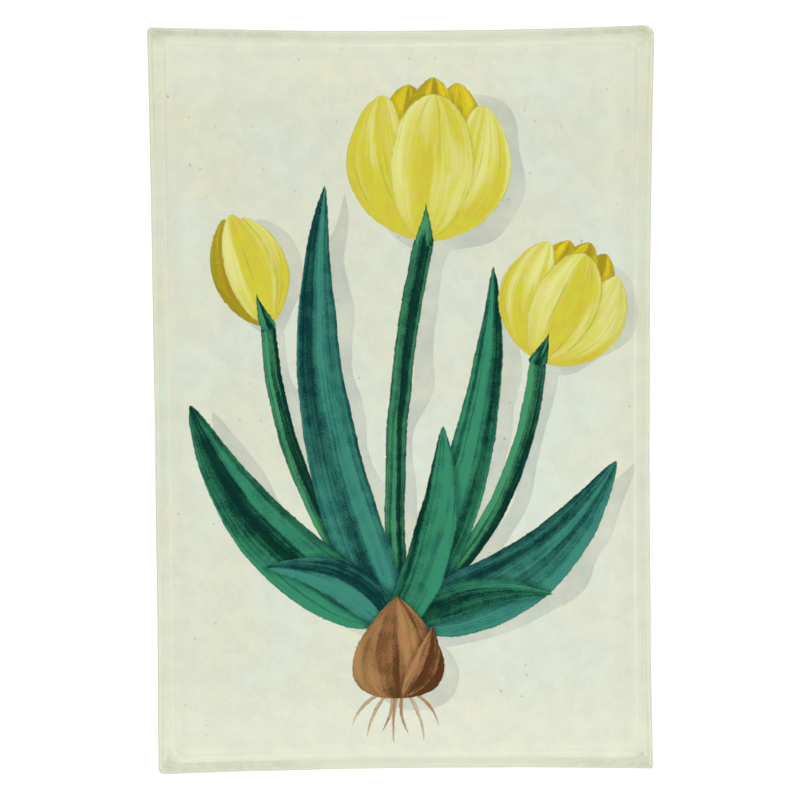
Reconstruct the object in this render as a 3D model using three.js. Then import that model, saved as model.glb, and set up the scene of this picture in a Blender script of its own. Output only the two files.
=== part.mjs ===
// A shallow rectangular glass tray with a printed paper picture glued under the glass.
//
// One sheet of clear glass is slumped into a tray: a flat floor, a tight bend all round and a
// short steep wall that ends in a ground rim. The corners of the rim flare out and rise a
// little, as they do on a hand-made tray, so each side bows inwards between them. The printed
// paper follows the underside of the glass up to the rim. A sealed backing covers the paper,
// and four felt feet lift the tray off the table.
//
// Millimetres, +Z up. The tray lies on its feet at z = 0, with its long side along Y, and the
// picture's top points to +Y.

import * as THREE from "three";

// ---- Driving dimensions ----

const TRAY_LENGTH = 406.4; // rim corner to rim corner along Y
const TRAY_WIDTH = 272.4; // rim corner to rim corner along X, mean of both ends
const GLASS_THICKNESS = 4;
const RIM_HEIGHT = 13; // top of the rim above the underside of the floor
const WALL_ANGLE = THREE.MathUtils.degToRad(75); // from the floor
const INNER_BEND_RADIUS = 2.5; // where the floor turns up into the wall
const RIM_ROUNDING = 1.4; // ground corners of the rim's edge

// Seen from above. The rim's corners are ground by hand, each a little differently. They are in
// turn those at +X +Y, -X +Y, -X -Y and +X -Y.
const RIM_CORNER_RADII = [6, 2.5, 3, 1.5];
const FLOOR_CORNER_RADIUS = 9;

const END_TAPER = 0.0055; // the +Y end is wider and the -Y end narrower by this share
const LEFT_BOW = 0.8; // how far the -X side bows in at its middle
const RIGHT_BOW = 2; // the same for the +X side
const TOP_BOW = 2.4; // the same for the +Y end
const BOTTOM_BOW = 1.6; // the same for the -Y end
const CORNER_LIFT = 1.5; // how far the rim rises at its corners

const GLUE = 0.1; // clear glue film between two layers
const PAPER_THICKNESS = 0.3;
const BACKING_THICKNESS = 0.4;
const PAPER_MARGIN = 0.4; // the paper stops this far below the rim's rounding
const BACKING_MARGIN = 0.2;

const FOOT_RADIUS = 6;
const FOOT_HEIGHT = 2.1;
const FOOT_EDGE = 0.4; // bevel round a foot
const FOOT_X = 112;
const FOOT_Y = 178;

// How finely the round stretches are divided.
const CORNER_STEPS = 6;
const LONG_SIDE_STEPS = 8;
const SHORT_SIDE_STEPS = 6;
const BEND_STEPS = 5;
const RIM_STEPS = 3;
const FOOT_SIDES = 32;

// ---- Sizes that follow from them ----

const HALF_LENGTH = TRAY_LENGTH / 2;
const HALF_WIDTH = TRAY_WIDTH / 2;
const OUTER_BEND_RADIUS = INNER_BEND_RADIUS + GLASS_THICKNESS;
const GLASS_BOTTOM = FOOT_HEIGHT + BACKING_THICKNESS + GLUE + PAPER_THICKNESS + GLUE;

// Height of the straight part of the wall, along its slope, that gives RIM_HEIGHT.
const WALL_LENGTH =
  (RIM_HEIGHT -
    RIM_ROUNDING -
    OUTER_BEND_RADIUS * (1 - Math.cos(WALL_ANGLE)) -
    (GLASS_THICKNESS - RIM_ROUNDING) * Math.cos(WALL_ANGLE)) /
  Math.sin(WALL_ANGLE);

// How far inside the rim's outermost line the flat floor begins.
const FLOOR_INSET =
  OUTER_BEND_RADIUS * Math.sin(WALL_ANGLE) +
  WALL_LENGTH * Math.cos(WALL_ANGLE) +
  RIM_ROUNDING * (1 - Math.sin(WALL_ANGLE));

// ---- The sheet's cross-section ----
//
// A section point is (inset, height): how far it lies inside the rim's outermost line, and how
// high above the table.

const AXIS_INSET = HALF_WIDTH; // any point this far in is the middle of the tray

// One face of the sheet from the middle of the floor to the end of the straight wall. depth is
// measured into the material below the glass's own underside: 0 is the underside, and
// -GLASS_THICKNESS is the glass's upper face.
function sheetFace(depth, wallLength) {
  const radius = OUTER_BEND_RADIUS + depth;
  const centreHeight = GLASS_BOTTOM + OUTER_BEND_RADIUS;
  const points = [new THREE.Vector2(AXIS_INSET, centreHeight - radius)];
  for (let i = 0; i <= BEND_STEPS; i++) {
    const turn = (WALL_ANGLE * i) / BEND_STEPS;
    points.push(
      new THREE.Vector2(FLOOR_INSET - radius * Math.sin(turn), centreHeight - radius * Math.cos(turn)),
    );
  }
  const bendEnd = points[points.length - 1];
  points.push(alongWall(bendEnd, wallLength));
  return points;
}

// The point reached from another by going up the slope of the wall.
function alongWall(from, length) {
  return new THREE.Vector2(
    from.x - length * Math.cos(WALL_ANGLE),
    from.y + length * Math.sin(WALL_ANGLE),
  );
}

// The ground edge of the glass, from the outer face of the wall over to the inner one.
function rimEdge(outerEnd) {
  const points = [];
  for (const [middle, from] of [
    [RIM_ROUNDING, 0],
    [GLASS_THICKNESS - RIM_ROUNDING, 90],
  ]) {
    for (let i = 0; i <= RIM_STEPS; i++) {
      const turn = THREE.MathUtils.degToRad(from + (90 * i) / RIM_STEPS);
      const across = middle - RIM_ROUNDING * Math.cos(turn);
      const along = RIM_ROUNDING * Math.sin(turn);
      points.push(
        alongWall(
          new THREE.Vector2(
            outerEnd.x + across * Math.sin(WALL_ANGLE),
            outerEnd.y + across * Math.cos(WALL_ANGLE),
          ),
          along,
        ),
      );
    }
  }
  return points;
}

// The closed section of a layer between two faces, from the underside's middle, over the rim
// and back to the middle of the upper face.
function layerSection(lowerDepth, upperDepth, wallLength) {
  const lower = sheetFace(lowerDepth, wallLength);
  const upper = sheetFace(upperDepth, wallLength).reverse();
  return [...lower, ...upper];
}

function glassSection() {
  const lower = sheetFace(0, WALL_LENGTH);
  const upper = sheetFace(-GLASS_THICKNESS, WALL_LENGTH).reverse();
  const rim = rimEdge(lower[lower.length - 1]);
  return [...lower.slice(0, -1), ...rim, ...upper.slice(1)];
}

// ---- The tray's outline, seen from above ----

// How far up the wall a point of this inset is, from 0 on the floor to 1 at the rim.
function wallShare(inset) {
  return THREE.MathUtils.clamp(1 - inset / FLOOR_INSET, 0, 1);
}

// One closed line round the tray, this far inside the rim, as points in turn from the +X side.
// Its corners round off towards the floor.
function outlineAt(inset) {
  const points = [];
  const corners = [
    [1, 1, SHORT_SIDE_STEPS],
    [-1, 1, LONG_SIDE_STEPS],
    [-1, -1, SHORT_SIDE_STEPS],
    [1, -1, LONG_SIDE_STEPS],
  ];
  const arcPoint = (corner, quarterTurns) => {
    const [signX, signY] = corners[corner];
    const radius = THREE.MathUtils.lerp(
      FLOOR_CORNER_RADIUS,
      RIM_CORNER_RADII[corner],
      wallShare(inset),
    );
    const angle = (Math.PI / 2) * quarterTurns;
    return new THREE.Vector2(
      signX * (HALF_WIDTH - inset - radius) + radius * Math.cos(angle),
      signY * (HALF_LENGTH - inset - radius) + radius * Math.sin(angle),
    );
  };
  corners.forEach(([, , sideSteps], corner) => {
    for (let i = 0; i <= CORNER_STEPS; i++) {
      points.push(arcPoint(corner, corner + i / CORNER_STEPS));
    }
    const sideStart = arcPoint(corner, corner + 1);
    const sideEnd = arcPoint((corner + 1) % corners.length, corner + 1);
    for (let i = 1; i < sideSteps; i++) {
      points.push(sideStart.clone().lerp(sideEnd, i / sideSteps));
    }
  });
  return points;
}

// The hand-made shape: tapered a little, bowed in along each side, and lifted at the corners.
function handMade(point, inset, height) {
  const alongX = point.x / HALF_WIDTH;
  const alongY = point.y / HALF_LENGTH;
  const sideBow = alongX > 0 ? RIGHT_BOW : LEFT_BOW;
  const endBow = alongY > 0 ? TOP_BOW : BOTTOM_BOW;
  const narrowed = 1 - (sideBow / HALF_WIDTH) * (1 - alongY ** 2) + END_TAPER * alongY;
  const shortened = 1 - (endBow / HALF_LENGTH) * (1 - alongX ** 2);
  const lift = CORNER_LIFT * wallShare(inset) ** 2 * (alongX * alongY) ** 4;
  return new THREE.Vector3(point.x * narrowed, point.y * shortened, height + lift);
}

// ---- The pieces ----

// Turns a section round the tray: a lathe whose rings are then drawn out to the tray's outline.
function trayLayer(section) {
  const rings = section.map((at) => (at.x < AXIS_INSET ? outlineAt(at.x) : null));
  const steps = outlineAt(0).length;
  const profile = section.map((at) => new THREE.Vector2(HALF_WIDTH - at.x, at.y));
  const geometry = new THREE.LatheGeometry(profile, steps);
  const position = geometry.getAttribute("position");
  const middle = new THREE.Vector2();
  for (let step = 0; step <= steps; step++) {
    section.forEach((at, index) => {
      const flat = rings[index] ? rings[index][step % steps] : middle;
      const shaped = handMade(flat, at.x, at.y);
      position.setXYZ(step * section.length + index, shaped.x, shaped.y, shaped.z);
    });
  }
  geometry.computeVertexNormals();
  return geometry;
}

// A felt disc with a bevelled edge.
function footGeometry() {
  const profile = [
    new THREE.Vector2(0, 0),
    new THREE.Vector2(FOOT_RADIUS - FOOT_EDGE, 0),
    new THREE.Vector2(FOOT_RADIUS, FOOT_EDGE),
    new THREE.Vector2(FOOT_RADIUS, FOOT_HEIGHT - FOOT_EDGE),
    new THREE.Vector2(FOOT_RADIUS - FOOT_EDGE, FOOT_HEIGHT),
    new THREE.Vector2(0, FOOT_HEIGHT),
  ];
  return new THREE.LatheGeometry(profile, FOOT_SIDES).rotateX(Math.PI / 2);
}

function named(name, geometry, material) {
  const mesh = new THREE.Mesh(geometry, material);
  mesh.name = name;
  return mesh;
}

const glassMaterial = new THREE.MeshStandardMaterial({
  color: 0xdde7d6,
  roughness: 0.05,
  metalness: 0,
  transparent: true,
  opacity: 0.35,
});
const paperMaterial = new THREE.MeshStandardMaterial({ color: 0xe1e3cc, roughness: 0.7, metalness: 0 });
const backingMaterial = new THREE.MeshStandardMaterial({ color: 0xd9d2bc, roughness: 0.6, metalness: 0 });
const feltMaterial = new THREE.MeshStandardMaterial({ color: 0xb9ac90, roughness: 1, metalness: 0 });

const paperTop = GLUE;
const paperBottom = paperTop + PAPER_THICKNESS;
const backingTop = paperBottom + GLUE;
const backingBottom = backingTop + BACKING_THICKNESS;

const tray = new THREE.Group();

tray.add(named("glass_tray", trayLayer(glassSection()), glassMaterial));
tray.add(
  named(
    "printed_paper",
    trayLayer(layerSection(paperBottom, paperTop, WALL_LENGTH - PAPER_MARGIN)),
    paperMaterial,
  ),
);
tray.add(
  named(
    "sealed_backing",
    trayLayer(layerSection(backingBottom, backingTop, WALL_LENGTH - BACKING_MARGIN)),
    backingMaterial,
  ),
);

const feet = [
  [FOOT_X, FOOT_Y],
  [-FOOT_X, FOOT_Y],
  [-FOOT_X, -FOOT_Y],
  [FOOT_X, -FOOT_Y],
];
feet.forEach(([x, y], index) => {
  const foot = named(`felt_foot_${index + 1}`, footGeometry(), feltMaterial);
  foot.position.set(x, y, 0);
  tray.add(foot);
});

export default tray;
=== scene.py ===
"""A shallow glass tray with a painted botanical print under the glass, for Blender 4.5.

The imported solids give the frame: the tray lies on its feet at z = 0, its long side runs along Y
and the picture's top points to +Y. Each operator adds one piece, in metres, where its solids are.
"""

import math
from collections import namedtuple

import bmesh
import bpy
from mathutils import Matrix, Vector, noise


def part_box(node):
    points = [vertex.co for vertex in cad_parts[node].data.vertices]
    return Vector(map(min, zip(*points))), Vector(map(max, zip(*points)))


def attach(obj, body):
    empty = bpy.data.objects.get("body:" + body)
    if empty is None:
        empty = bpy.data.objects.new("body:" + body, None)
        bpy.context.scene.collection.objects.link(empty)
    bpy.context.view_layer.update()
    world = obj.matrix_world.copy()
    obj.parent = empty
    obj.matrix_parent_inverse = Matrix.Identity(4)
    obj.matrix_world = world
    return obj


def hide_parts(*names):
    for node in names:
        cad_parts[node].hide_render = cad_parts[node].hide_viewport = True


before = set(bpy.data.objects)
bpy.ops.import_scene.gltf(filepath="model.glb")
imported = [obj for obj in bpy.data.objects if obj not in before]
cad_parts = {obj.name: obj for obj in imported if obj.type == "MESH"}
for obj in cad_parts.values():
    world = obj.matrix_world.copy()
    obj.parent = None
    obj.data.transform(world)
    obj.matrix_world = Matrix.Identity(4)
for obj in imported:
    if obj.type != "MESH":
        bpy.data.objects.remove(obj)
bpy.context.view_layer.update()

bl_info = {
    "name": "Printed Glass Tray",
    "version": (1, 0, 0),
    "blender": (4, 5, 0),
    "location": "View3D > Sidebar > Glass Tray",
    "description": "Adds a shallow glass tray with a botanical print under the glass",
    "category": "Add Mesh",
}

MM = 0.001
ORIGIN = Vector((0.0, 0.0, 0.0))
NORTH = Vector((0.0, 1.0, 0.0))
WHITE = (1.0, 1.0, 1.0, 1.0)

# Heights and places that the solids give.
GLASS_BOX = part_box("glass_tray")
PAPER_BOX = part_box("printed_paper")
BACKING_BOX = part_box("sealed_backing")
FEET = [name for name in sorted(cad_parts) if name.startswith("felt_foot")]

# A place round the tray runs over four corners and four sides in turn, and each half of the way
# round starts with one of its two ends.
WAY_ROUND = 8
HALF_WAY = 4.0

# How finely the round stretches are divided.
STRETCH_STEPS = 24  # along each corner and each side, seen from above
BEND_STEPS = 10
RIM_STEPS = 5

# Thin layers under the glass.
PAPER_THICKNESS = 0.3 * MM
PAPER_STOPS_SHORT = 0.4 * MM  # of the end of the glass's wall
LINING_THICKNESS = 0.4 * MM
LINING_STOPS_SHORT = 0.2 * MM
VARNISH_LIP = 0.15 * MM
VARNISH_GAP = 0.02 * MM  # between the lip and the glass
PLEAT_DEPTH = 0.2 * MM


# ---- Sizes and colours that a user may change ----


def length_setting(name, description, default):
    return bpy.props.FloatProperty(name=name, description=description, default=default, unit="LENGTH")


def angle_setting(name, description, degrees):
    default = math.radians(degrees)
    return bpy.props.FloatProperty(name=name, description=description, default=default, subtype="ANGLE")


def power_setting(name, description, default):
    return bpy.props.FloatProperty(
        name=name, description=description, default=default, min=0.0, unit="POWER"
    )


def colour_setting(name, description, default):
    return bpy.props.FloatVectorProperty(
        name=name, description=description, default=default, subtype="COLOR"
    )


class TraySizes(bpy.types.PropertyGroup):
    """The tray's form."""

    length: length_setting("Length", "From rim corner to rim corner, along Y", 406.4 * MM)
    width: length_setting("Width", "The same along X, mean of both ends", 272.4 * MM)
    glass_thickness: length_setting("Glass Thickness", "Thickness of the sheet", 4 * MM)
    rim_height: length_setting("Rim Height", "Top of the rim above the glass's underside", 13 * MM)
    wall_angle: angle_setting("Wall Angle", "Slope of the wall", 75)
    bend_radius: length_setting("Bend Radius", "Inner radius where the floor turns up", 2.5 * MM)
    rim_rounding: length_setting("Rim Rounding", "Ground corners of the rim's edge", 1.4 * MM)
    rim_corners: bpy.props.FloatVectorProperty(
        name="Rim Corners",
        description="Corner radii of the rim from above, in turn from +X +Y over -X +Y",
        size=4,
        default=(6 * MM, 2.5 * MM, 3 * MM, 1.5 * MM),
        unit="LENGTH",
    )
    floor_corner: length_setting("Floor Corner", "Corner radius of the floor, from above", 9 * MM)
    left_bow: length_setting("Left Bow", "How far the -X side bows in", 0.8 * MM)
    right_bow: length_setting("Right Bow", "How far the +X side bows in", 2 * MM)
    top_bow: length_setting("Top Bow", "How far the +Y end bows in", 2.4 * MM)
    bottom_bow: length_setting("Bottom Bow", "How far the -Y end bows in", 1.6 * MM)
    end_taper: bpy.props.FloatProperty(
        name="End Taper", description="Share by which the +Y end is wider", default=0.0055, subtype="FACTOR"
    )
    corner_lift: length_setting("Corner Lift", "How far the rim rises at its corners", 1.5 * MM)
    waviness: length_setting("Waviness", "Unevenness of the hand-ground rim", 0.25 * MM)


class TrayColours(bpy.types.PropertyGroup):
    """The print's paper and paints, the lining and the felt."""

    paper_cream: colour_setting("Cream", "Warm tone of the paper", (0.728, 0.712, 0.57))
    paper_mint: colour_setting("Mint", "Cool tone of the paper", (0.69, 0.735, 0.66))
    paper_grey: colour_setting("Clouding", "Pale grey clouds in the paper", (0.645, 0.657, 0.577))
    # Painted light: the tone of the paper where it is painted lighter beside the rim, against the walls'
    # shade.
    paper_painted_light: colour_setting("Painted Light", "Paper beside the rim", (0.72, 0.71, 0.61))
    paper_speck: colour_setting("Paper Speck", "Dark fibres in the paper", (0.25, 0.2, 0.12))
    wash: colour_setting("Wash", "Grey wash of the painted shadows", (0.73, 0.74, 0.77))
    petal_light: colour_setting("Petal", "Pale lemon of the petals", (0.75, 0.73, 0.27))
    petal_deep: colour_setting("Petal Deep", "Golden depth of the petals", (0.62, 0.54, 0.05))
    inner_light: colour_setting("Inner Petal", "Strong yellow inside", (0.74, 0.58, 0.025))
    inner_deep: colour_setting("Inner Deep", "Ochre shade inside", (0.36, 0.27, 0.015))
    leaf_light: colour_setting("Leaf", "Light green of the leaves", (0.038, 0.25, 0.145))
    leaf_deep: colour_setting("Leaf Deep", "Dark green of the leaves", (0.0005, 0.03, 0.02))
    teal_light: colour_setting("Teal", "Light blue-green", (0.045, 0.24, 0.188))
    teal_deep: colour_setting("Teal Deep", "Dark blue-green", (0.001, 0.034, 0.034))
    stem_light: colour_setting("Stem", "Fresh green of the stems", (0.06, 0.28, 0.14))
    bulb_light: colour_setting("Bulb", "Papery brown of the bulb", (0.42, 0.22, 0.09))
    bulb_deep: colour_setting("Bulb Deep", "Dark brown of the bulb", (0.10, 0.035, 0.012))
    root_light: colour_setting("Root", "Pale tan of the roots", (0.66, 0.58, 0.40))
    lining_deep: colour_setting("Lining Deep", "Aged lining paper", (0.61, 0.575, 0.44))
    lining_light: colour_setting("Lining", "Pale lining paper", (0.67, 0.65, 0.53))
    lining_brushed: colour_setting("Varnish Marks", "Where the brush left more", (0.50, 0.46, 0.33))
    lining_speck: colour_setting("Lining Speck", "Dark fibres in the lining", (0.3, 0.24, 0.15))
    lining_edge: colour_setting("Lining Edge", "Greyed upper edge", (0.57, 0.58, 0.50))
    felt_deep: colour_setting("Felt Deep", "Darker wool", (0.50, 0.43, 0.30))
    felt_light: colour_setting("Felt", "Paler wool", (0.60, 0.53, 0.40))
    felt_strand: colour_setting("Felt Strand", "Shade between the strands", (0.36, 0.30, 0.20))


class StageSettings(bpy.types.PropertyGroup):
    """The camera and the light."""

    camera_distance: length_setting("Camera Distance", "From the camera to the tray", 1.5)
    camera_tilt: angle_setting("Camera Tilt", "Lean towards the +Y end", 3.2)
    camera_sway: angle_setting("Camera Sway", "Lean towards the -X side", 1.6)
    camera_roll: angle_setting("Camera Roll", "Turn of the tray in the view", 0.39)
    view_width: length_setting("View Width", "Width of the view at the rim", 436.2 * MM)
    left_light: power_setting("Left Softbox", "Power of the softbox on the left", 3.1)
    right_light: power_setting("Right Softbox", "Power of the softbox on the right", 3.7)
    sky_light: bpy.props.FloatProperty(
        name="Surroundings", description="Brightness of the pale surroundings", default=1.17
    )
    sky_colour: colour_setting("Surroundings Colour", "Tint of the pale surroundings", (1.0, 1.0, 0.99))
    floor_colour: colour_setting("Floor", "Colour of the studio floor", (0.93, 0.93, 0.92))
    floor_glow: bpy.props.FloatProperty(
        name="Floor Glow", description="Light of the white table under the tray", default=0.3
    )


# ---- The tray's form ----


class TrayForm:
    """The tray's outline and section, worked out from its sizes.

    A section point is (inset, height): how far it lies inside the rim's outermost line, and how
    high above the table.
    """

    ripple_scale = 28  # waves of the hand-ground rim in a metre
    lift_power = 4  # how sharply the rim starts to rise towards its corners

    def __init__(self, sizes):
        self.sizes = sizes
        self.half_width = sizes.width / 2
        self.half_length = sizes.length / 2
        self.floor_height = GLASS_BOX[0].z
        self.outer_bend = sizes.bend_radius + sizes.glass_thickness
        cosine, sine = math.cos(sizes.wall_angle), math.sin(sizes.wall_angle)
        self.up_wall = Vector((-cosine, sine))
        self.across_wall = Vector((sine, cosine))
        self.wall_length = (
            sizes.rim_height
            - sizes.rim_rounding
            - self.outer_bend * (1 - cosine)
            - (sizes.glass_thickness - sizes.rim_rounding) * cosine
        ) / sine
        self.floor_inset = (
            self.outer_bend * sine + self.wall_length * cosine + sizes.rim_rounding * (1 - sine)
        )

    def wall_share(self, inset):
        """How far up the wall a point is, from 0 on the floor to 1 at the rim."""
        return min(max(1 - inset / self.floor_inset, 0.0), 1.0)

    def face(self, depth, wall_length, floor_margin=4 * MM):
        """One face of the sheet, from the floor's edge to the end of the wall.

        depth counts down from the glass's underside, so its upper face has a negative one.
        """
        radius = self.outer_bend + depth
        centre = self.floor_height + self.outer_bend
        points = [
            Vector((self.floor_inset + floor_margin, centre - radius)),
            Vector((self.floor_inset + floor_margin / 4, centre - radius)),
        ]
        for step in range(BEND_STEPS + 1):
            turn = self.sizes.wall_angle * step / BEND_STEPS
            points.append(
                Vector((self.floor_inset - radius * math.sin(turn), centre - radius * math.cos(turn)))
            )
        end = points[-1] + self.up_wall * wall_length
        points.append(points[-1].lerp(end, 0.5))
        points.append(end)
        return points

    def rim(self):
        """The glass's ground edge, from the outer face of the wall over to the inner one."""
        outer_end = self.face(0.0, self.wall_length)[-1]
        rounding = self.sizes.rim_rounding
        points = []
        for middle, start in ((rounding, 0.0), (self.sizes.glass_thickness - rounding, 90.0)):
            for step in range(RIM_STEPS + 1):
                turn = math.radians(start + 90.0 * step / RIM_STEPS)
                across = middle - rounding * math.cos(turn)
                along = rounding * math.sin(turn)
                points.append(outer_end + self.across_wall * across + self.up_wall * along)
        return points

    def outline(self, inset, place):
        """A point of the closed line round the tray that lies this far inside the rim."""
        share = self.wall_share(inset)

        def on_arc(corner, quarters):
            corner %= 4
            floor_radius = self.sizes.floor_corner
            radius = floor_radius + (self.sizes.rim_corners[corner] - floor_radius) * share
            sign_x = 1 if corner in (0, 3) else -1
            sign_y = 1 if corner in (0, 1) else -1
            centre = Vector(
                (sign_x * (self.half_width - inset - radius), sign_y * (self.half_length - inset - radius))
            )
            angle = math.pi / 2 * quarters
            return centre + radius * Vector((math.cos(angle), math.sin(angle)))

        stretch = int(place) % WAY_ROUND
        along = place % 1.0
        corner = stretch // 2
        if stretch % 2 == 0:
            return on_arc(corner, corner + along)
        return on_arc(corner, corner + 1).lerp(on_arc(corner + 1, corner + 1), along)

    def hand_made(self, inset, height, place):
        """The point in space: tapered, bowed in along each side, and lifted at the corners."""
        sizes = self.sizes
        flat = self.outline(inset, place)
        share = self.wall_share(inset)
        along_x = flat.x / self.half_width
        along_y = flat.y / self.half_length
        side_bow = sizes.right_bow if along_x > 0 else sizes.left_bow
        end_bow = sizes.top_bow if along_y > 0 else sizes.bottom_bow
        narrowed = 1 - side_bow / self.half_width * (1 - along_y**2) + sizes.end_taper * along_y
        shortened = 1 - end_bow / self.half_length * (1 - along_x**2)
        lift = sizes.corner_lift * share**2 * (along_x * along_y) ** self.lift_power
        unevenness = noise.noise(Vector((flat.x * self.ripple_scale, flat.y * self.ripple_scale, 0.5)))
        ripple = -sizes.waviness * share * min(max(0.5 + unevenness, 0.0), 1.0)
        away = flat.normalized() * ripple
        return Vector((flat.x * narrowed + away.x, flat.y * shortened + away.y, height + lift + ripple / 2))


def wrap_round(bm, section, place_at, slot_at=None):
    """Draws a closed shell: a ring of vertices is extruded from each section point to the next.

    place_at(index, place) gives the vertex on ring number index. slot_at(index, place) gives the
    material of a face that leads to that ring. The first ring starts with a cap, and the last
    ring ends with one.
    """
    place_layer = bm.verts.layers.float.new("place")
    count = WAY_ROUND * STRETCH_STEPS
    bmesh.ops.create_circle(bm, cap_ends=True, segments=count, radius=1.0)
    for vertex in bm.verts:
        turn = math.atan2(vertex.co.y, vertex.co.x) / math.tau
        vertex[place_layer] = round((turn % 1.0) * count) % count / STRETCH_STEPS
        vertex.co = place_at(0, vertex[place_layer])
    edges = list(bm.edges)
    rings = [list(bm.faces)]
    for index in range(1, len(section)):
        extruded = bmesh.ops.extrude_edge_only(bm, edges=edges)["geom"]
        for vertex in (item for item in extruded if isinstance(item, bmesh.types.BMVert)):
            vertex.co = place_at(index, vertex[place_layer])
        rings.append([item for item in extruded if isinstance(item, bmesh.types.BMFace)])
        edges = [item for item in extruded if isinstance(item, bmesh.types.BMEdge) and item.is_boundary]
    rings[-1] += bmesh.ops.holes_fill(bm, edges=edges, sides=0)["faces"]
    bmesh.ops.recalc_face_normals(bm, faces=bm.faces)
    # A face that crosses the seam has places from both ends of the way round.
    for index, faces in enumerate(rings):
        for face in faces:
            face.smooth = True
            places = [vertex[place_layer] for vertex in face.verts]
            seam = WAY_ROUND if max(places) - min(places) > HALF_WAY else 0
            middle = sum(place + seam * (place < HALF_WAY) for place in places) / len(places)
            face.material_index = slot_at(index, middle) if slot_at else 0
    put_in_order(bm)


def put_in_order(bm):
    """Sorts the faces by their vertices, because extruding leaves them in no set order."""
    bm.verts.index_update()
    total = len(bm.verts)

    def rank(face):
        numbers = [vertex.index for vertex in face.verts]
        return min(numbers) * total + max(numbers)

    bm.faces.sort(key=rank)


def finish_piece(name, bm, materials, nodes):
    """Turns a bmesh into an object that stands for its solids and rides with them."""
    mesh = bpy.data.meshes.new(name)
    bm.to_mesh(mesh)
    bm.free()
    for material in materials:
        mesh.materials.append(material)
    piece = bpy.data.objects.new(name, mesh)
    bpy.context.scene.collection.objects.link(piece)
    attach(piece, "root")
    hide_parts(*nodes)


# ---- Building blocks for materials ----


def add_node(tree, kind, inputs=None, **settings):
    """Adds a node. An input is a value, or another node's output socket to link."""
    made = tree.nodes.new(kind)
    for name, value in settings.items():
        setattr(made, name, value)
    for name, value in (inputs or {}).items():
        socket = made.inputs[name]
        if isinstance(value, bpy.types.NodeSocket):
            tree.links.new(value, socket)
        else:
            socket.default_value = value
    return made


def math_node(tree, operation, *values):
    return add_node(tree, "ShaderNodeMath", dict(enumerate(values)), operation=operation).outputs[0]


def clamped(tree, value):
    """The value kept between 0 and 1.

    It is a node of its own because a Math node's clamp is computed after all the other nodes,
    and a long chain of strokes would then need more room than a shader has.
    """
    return add_node(tree, "ShaderNodeClamp", {"Value": value}).outputs[0]


def vector_math(tree, operation, *values):
    made = add_node(tree, "ShaderNodeVectorMath", dict(enumerate(values)), operation=operation)
    return made.outputs["Value" if operation in ("DOT_PRODUCT", "LENGTH") else "Vector"]


def scaled(tree, vector, scale):
    made = add_node(tree, "ShaderNodeVectorMath", {0: vector, "Scale": scale}, operation="SCALE")
    return made.outputs["Vector"]


def mixed(tree, kind, factor, first, second, blend="MIX"):
    """A Mix node for data of this kind: FLOAT, VECTOR or RGBA."""
    made = add_node(tree, "ShaderNodeMix", data_type=kind)
    if kind == "RGBA":
        made.blend_type = blend
    sockets = {"FLOAT": (0, 2, 3, 0), "VECTOR": (0, 4, 5, 1), "RGBA": (0, 6, 7, 2)}[kind]
    for index, value in zip(sockets, (factor, first, second)):
        if isinstance(value, bpy.types.NodeSocket):
            tree.links.new(value, made.inputs[index])
        else:
            made.inputs[index].default_value = value
    return made.outputs[sockets[3]]


def ramped(tree, value, low, high, to_low=0.0, to_high=1.0):
    """The value stretched so that low gives to_low and high gives to_high, smoothly."""
    made = add_node(
        tree,
        "ShaderNodeMapRange",
        {"Value": value, "From Min": low, "From Max": high, "To Min": to_low, "To Max": to_high},
        interpolation_type="SMOOTHSTEP",
    )
    return made.outputs["Result"]


def cloud(tree, point, scale, detail=2.0, roughness=0.5):
    inputs = {"Vector": point, "Scale": scale, "Detail": detail, "Roughness": roughness}
    return add_node(tree, "ShaderNodeTexNoise", inputs)


def new_group(name, inputs, outputs):
    """A shader node group with named sockets. Returns the tree, its inputs by name and its end."""
    tree = bpy.data.node_groups.new(name, "ShaderNodeTree")
    for in_out, sockets in (("INPUT", inputs), ("OUTPUT", outputs)):
        for socket_name, (kind, value) in sockets.items():
            socket = tree.interface.new_socket(socket_name, in_out=in_out, socket_type="NodeSocket" + kind)
            if value is not None:
                socket.default_value = value
    start = tree.nodes.new("NodeGroupInput")
    end = tree.nodes.new("NodeGroupOutput")
    return tree, {socket.name: socket for socket in start.outputs if socket.name}, end


def use_group(tree, group, inputs):
    """Places a node group. Returns its outputs by name."""
    made = tree.nodes.new("ShaderNodeGroup")
    made.node_tree = group
    for name, value in inputs.items():
        if isinstance(value, bpy.types.NodeSocket):
            tree.links.new(value, made.inputs[name])
        else:
            made.inputs[name].default_value = value
    return made.outputs


def shared_group(name, make):
    """A node group that more than one material uses, made once."""
    return bpy.data.node_groups.get(name) or make()


def new_material(name):
    """An empty material with its output node."""
    material = bpy.data.materials.new(name)
    material.use_nodes = True
    tree = material.node_tree
    tree.nodes.clear()
    return material, tree, tree.nodes.new("ShaderNodeOutputMaterial")


def opaque(colour):
    return (*colour, 1.0)


def parts_of(tree, vector):
    """The X, Y and Z of a vector."""
    return add_node(tree, "ShaderNodeSeparateXYZ", {0: vector}).outputs


def bumped(tree, height, strength, distance):
    """The normal of a surface that rises by this distance where the height is 1."""
    inputs = {"Strength": strength, "Distance": distance, "Height": height}
    return add_node(tree, "ShaderNodeBump", inputs).outputs[0]


def give_surface(tree, output, inputs):
    """Ends a material with a Principled shader."""
    shader = add_node(tree, "ShaderNodeBsdfPrincipled", inputs)
    tree.links.new(shader.outputs[0], output.inputs["Surface"])


# ---- The print ----

# One brush stroke. Points are in millimetres from the middle of the sheet. bow is how far the
# stroke's middle swings to the right of the straight line from start to tip. foot and tip_shape
# are the powers by which the width grows and shrinks: small ones make blunt ends.
Stroke = namedtuple("Stroke", "start tip width bow foot tip_shape paint shade flush rib")


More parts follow.
